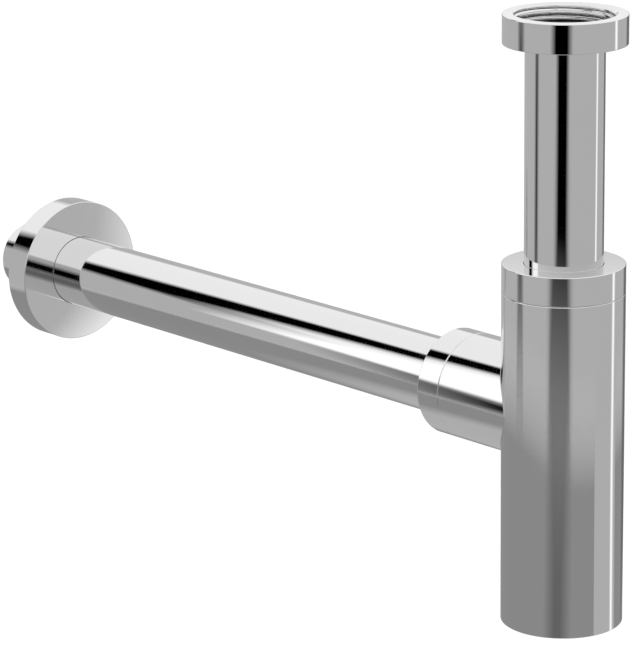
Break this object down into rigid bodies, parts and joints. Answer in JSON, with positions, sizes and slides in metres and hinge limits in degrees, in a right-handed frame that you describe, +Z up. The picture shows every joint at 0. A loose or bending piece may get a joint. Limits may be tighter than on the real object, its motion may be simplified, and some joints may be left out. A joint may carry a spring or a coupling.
{
  "type": "washbasin bottle trap",
  "caption": "Chromed bottle trap for a washbasin: union nut and dip tube into a straight cylindrical bottle, with a side outlet tube through a round wall flange.",
  "frame": {"origin": "centre of the inlet nut's mouth, on the inlet axis", "axes": "+Z up along the inlet axis, out of the nut's mouth; +Y along the outlet tube towards the wall; +X completes the right-handed frame"},
  "size_m": [0.0654, 0.3805, 0.252],
  "materials": {
    "chromed_brass": "polished",
    "black_rubber": "matte",
    "white_plastic": "satin"
  },
  "bodies": {
    "inlet_nut": {"inlet_nut": "chromed_brass"},
    "inlet_washer": {"inlet_washer": "black_rubber"},
    "inlet_tube": {"inlet_tube": "chromed_brass"},
    "cap_seal": {"cap_seal": "black_rubber"},
    "bottle": {"bottle": "chromed_brass"},
    "cap_slip_ring": {"cap_slip_ring": "white_plastic"},
    "body_cap": {"body_cap": "chromed_brass"},
    "outlet_seal": {"outlet_seal": "black_rubber"},
    "outlet_tube": {"outlet_tube": "chromed_brass"},
    "outlet_slip_ring": {"outlet_slip_ring": "white_plastic"},
    "outlet_nut": {"outlet_nut": "chromed_brass"},
    "flange_grip_ring": {"flange_grip_ring": "black_rubber"},
    "wall_flange": {"wall_flange": "chromed_brass"}
  },
  "joints": [
    {"name": "inlet_nut_slide", "type": "slide", "parent": "inlet_nut", "child": "inlet_washer", "axis": [0, 0, 1], "range_m": [0, 0.065]},
    {"name": "inlet_swivel", "type": "hinge", "parent": "inlet_washer", "child": "inlet_tube", "pos_m": [0, 0, -0.01], "axis": [0, 0, 1], "continuous": true},
    {"name": "height_slide", "type": "slide", "parent": "inlet_tube", "child": "cap_seal", "axis": [0, 0, 1], "range_m": [-0.05, 0.01]},
    {"name": "bottle_swivel", "type": "hinge", "parent": "cap_seal", "child": "bottle", "pos_m": [0, 0, -0.107], "axis": [0, 0, 1], "continuous": true},
    {"name": "cap_turn", "type": "hinge", "parent": "cap_slip_ring", "child": "body_cap", "pos_m": [0, 0, -0.107], "axis": [0, 0, 1], "range_deg": [0, 1920]},
    {"name": "cap_lift", "type": "slide", "parent": "bottle", "child": "cap_slip_ring", "axis": [0, 0, 1], "range_m": [0, 0.0081]},
    {"name": "outlet_twist", "type": "hinge", "parent": "bottle", "child": "outlet_seal", "pos_m": [0, 0.055, -0.1633], "axis": [0, 1, 0], "continuous": true},
    {"name": "outlet_slide", "type": "slide", "parent": "outlet_seal", "child": "outlet_tube", "axis": [0, 1, 0], "range_m": [-0.012, 0.012]},
    {"name": "outlet_nut_turn", "type": "hinge", "parent": "outlet_slip_ring", "child": "outlet_nut", "pos_m": [0, 0.055, -0.1633], "axis": [0, 1, 0], "range_deg": [0, 1260]},
    {"name": "outlet_nut_travel", "type": "slide", "parent": "bottle", "child": "outlet_slip_ring", "axis": [0, 1, 0], "range_m": [0, 0.0082]},
    {"name": "flange_slide", "type": "slide", "parent": "outlet_tube", "child": "flange_grip_ring", "axis": [0, 1, 0], "range_m": [-0.23, 0.02]},
    {"name": "flange_spin", "type": "hinge", "parent": "flange_grip_ring", "child": "wall_flange", "pos_m": [0, 0.322, -0.1633], "axis": [0, 1, 0], "continuous": true}
  ],
  "couplings": [
    {"joint": "cap_lift", "follows": "cap_turn", "m_per_rad": 0.00023873},
    {"joint": "outlet_nut_travel", "follows": "outlet_nut_turn", "m_per_rad": 0.00036749}
  ]
}
